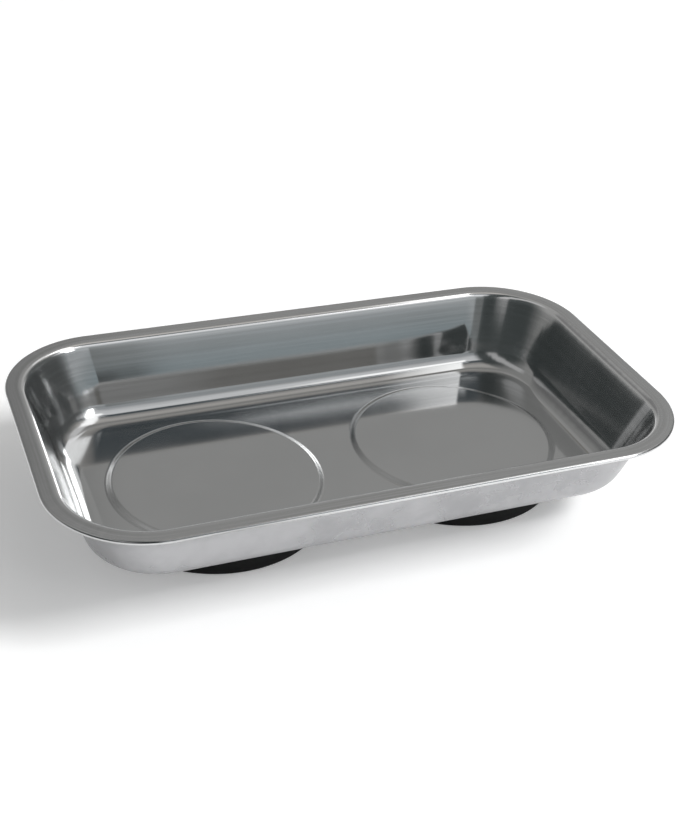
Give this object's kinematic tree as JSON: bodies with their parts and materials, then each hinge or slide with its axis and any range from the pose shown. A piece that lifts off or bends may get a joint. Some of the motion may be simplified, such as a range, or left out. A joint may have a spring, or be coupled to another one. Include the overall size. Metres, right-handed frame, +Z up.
{
  "type": "magnetic parts tray",
  "caption": "Shallow rectangular steel tray with rounded corners that holds screws and small parts, standing on ring magnets in rubber boots.",
  "frame": {"origin": "middle of the plane that the boots stand on, under the middle of the tray", "axes": "+X along the tray's length, +Y across its width, +Z up out of the tray"},
  "size_m": [0.24, 0.14, 0.0426],
  "materials": {
    "stainless": "polished inside, hazy outside",
    "rubber": "matte moulded",
    "ferrite": "ground",
    "zinc_plate": "bright zinc plate"
  },
  "bodies": {
    "root": {"tray": "stainless", "left_boot": "rubber", "left_backing_plate": "zinc_plate", "left_magnet": "ferrite", "left_weld_stud": "zinc_plate", "left_washer": "zinc_plate", "left_spring_washer": "zinc_plate", "left_nut": "zinc_plate", "right_boot": "rubber", "right_backing_plate": "zinc_plate", "right_magnet": "ferrite", "right_weld_stud": "zinc_plate", "right_washer": "zinc_plate", "right_spring_washer": "zinc_plate", "right_nut": "zinc_plate"}
  },
  "joints": []
}
